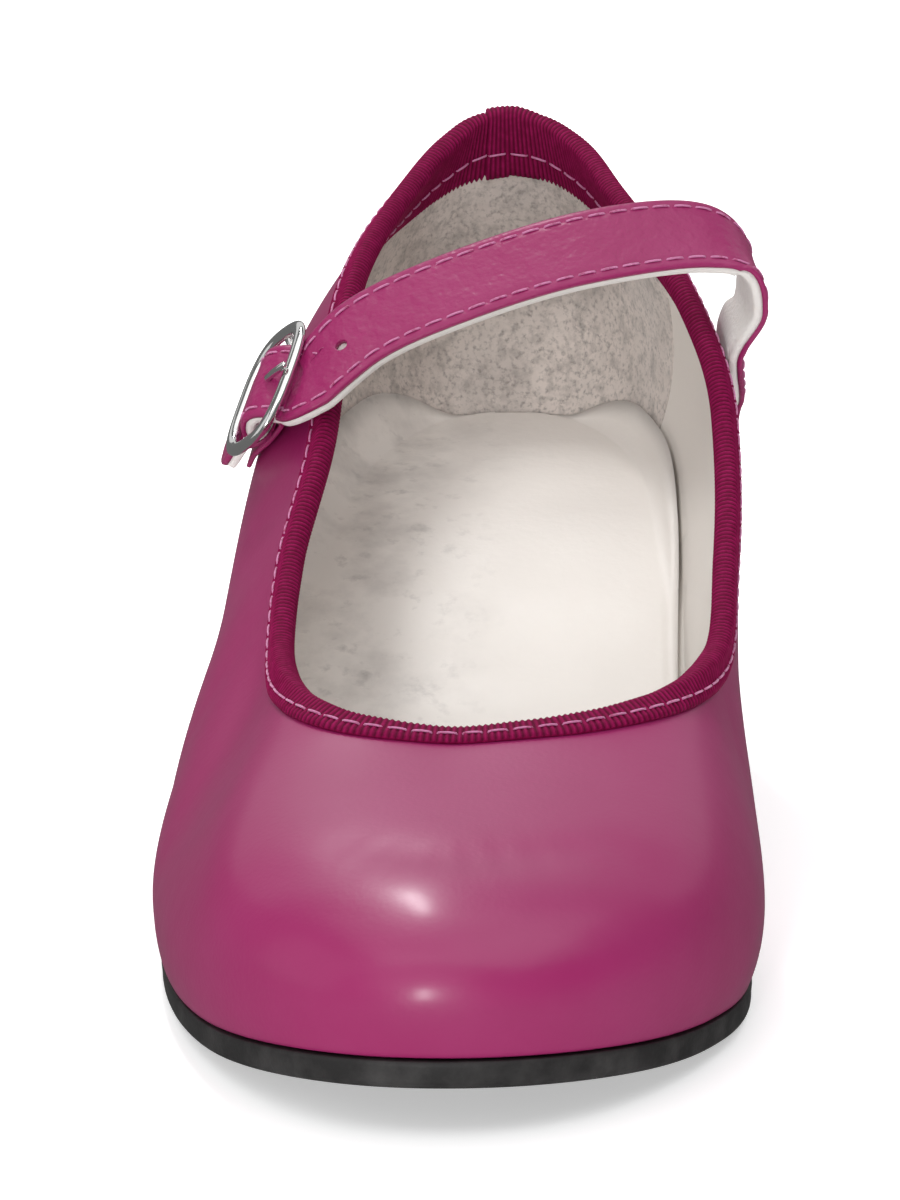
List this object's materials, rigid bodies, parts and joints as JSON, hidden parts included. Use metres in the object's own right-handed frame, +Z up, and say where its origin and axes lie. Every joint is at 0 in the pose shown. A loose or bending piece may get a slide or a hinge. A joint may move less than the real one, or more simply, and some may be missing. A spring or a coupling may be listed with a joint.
{
  "type": "flamenco shoe",
  "caption": "Child's flamenco shoe for the right foot: hollow leather pump upper with ribbon-bound collar, one buckled instep strap, thin rubber outsole and block heel.",
  "frame": {"origin": "middle of the heel tip's ground face", "axes": "-Z points out of the heel's ground face, +Z up, +Y toward the heel and -Y toward the toe, +X to the inner side of the right foot, -X to the outer side where the buckle sits"},
  "size_m": [0.0813, 0.2157, 0.0927],
  "materials": {
    "upper_leather": "smooth satin leather, magenta",
    "grosgrain": "ribbed grosgrain ribbon, dark magenta",
    "insole_lining": "smooth cream lining leather, slightly wrinkled",
    "sole_rubber": "matt black rubber",
    "heel_leather": "satin leather cover, magenta",
    "tip_rubber": "matt black rubber",
    "strap_leather": "satin leather on a white felt lining",
    "tab_leather": "satin leather, magenta",
    "buckle_metal": "polished nickel plate"
  },
  "bodies": {
    "root": {"upper": "upper_leather", "collar_binding": "grosgrain", "insole": "insole_lining", "outsole": "sole_rubber", "heel_block": "heel_leather", "heel_tip": "tip_rubber", "strap": "strap_leather", "buckle_tab": "tab_leather", "buckle_frame": "buckle_metal", "buckle_prong": "buckle_metal"}
  },
  "joints": []
}
